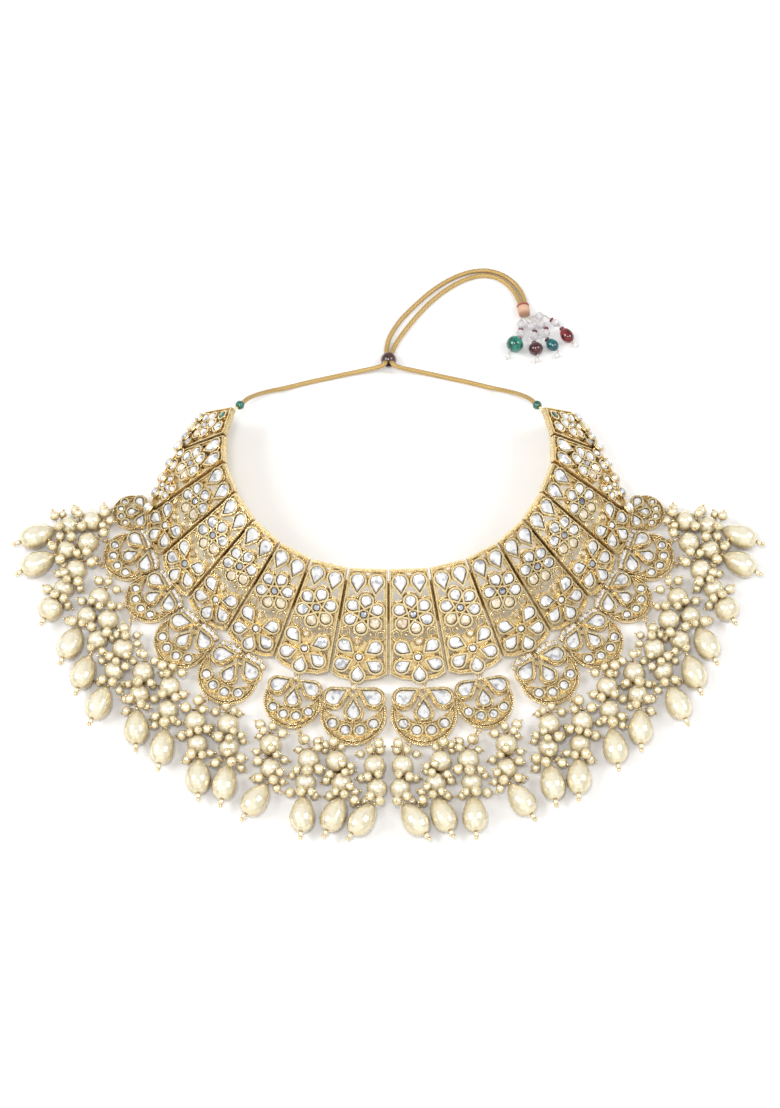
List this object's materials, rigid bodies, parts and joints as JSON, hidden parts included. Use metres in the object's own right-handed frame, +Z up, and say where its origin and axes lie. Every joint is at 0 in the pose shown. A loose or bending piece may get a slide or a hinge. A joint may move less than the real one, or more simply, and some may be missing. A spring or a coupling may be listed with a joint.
{
  "type": "kundan necklace",
  "caption": "Hinged collar necklace of stone-set gold panels with scalloped crescent pendants, hanging pearl strands and tie cords with a beaded tassel",
  "frame": {"origin": "centre of the bounding box of the necklace without its cords and tassel, at the floor it rests on", "axes": "+X to the wearer's left along the widest span, +Y from the front pendants toward the tie cords at the nape, +Z up from the floor"},
  "size_m": [0.3024, 0.2526, 0.0329],
  "materials": {
    "gold": "satin gilt with darkened recesses",
    "crystal": "flat-cut clear stone over silver foil",
    "pearl": "soft pearl lustre",
    "green_stone": "polished dark green stone",
    "gold_thread": "braided metallic thread",
    "maroon_bead": "polished",
    "wrapped_thread": "wound thread",
    "tassel_glass": "polished glass beads of several colours",
    "fine_thread": "twisted thread"
  },
  "bodies": {
    "root": {"panel_left_1": "gold", "panel_left_2": "gold", "panel_left_3": "gold", "panel_left_4": "gold", "panel_left_5": "gold", "panel_left_6": "gold", "panel_left_7": "gold", "panel_left_8": "gold", "panel_right_1": "gold", "panel_right_2": "gold", "panel_right_3": "gold", "panel_right_4": "gold", "panel_right_5": "gold", "panel_right_6": "gold", "panel_right_7": "gold", "panel_right_8": "gold", "crescent_left_1": "gold", "crescent_left_2": "gold", "crescent_left_3": "gold", "crescent_left_4": "gold", "crescent_left_5": "gold", "crescent_left_6": "gold", "crescent_left_7": "gold", "crescent_right_1": "gold", "crescent_right_2": "gold", "crescent_right_3": "gold", "crescent_right_4": "gold", "crescent_right_5": "gold", "crescent_right_6": "gold", "crescent_right_7": "gold", "seam_pins": "gold", "tip_rings": "gold", "collar_stones": "crystal", "crescent_stones": "crystal", "drop_wires_left": "gold", "drop_wires_right": "gold", "round_pearls_left": "pearl", "round_pearls_right": "pearl", "teardrop_pearls_left": "pearl", "teardrop_pearls_right": "pearl", "end_beads": "green_stone", "cord_left": "gold_thread", "cord_right": "gold_thread", "slider_bead": "maroon_bead", "tassel_knot": "wrapped_thread", "tassel_beads": "tassel_glass", "tassel_threads": "fine_thread"}
  },
  "joints": []
}
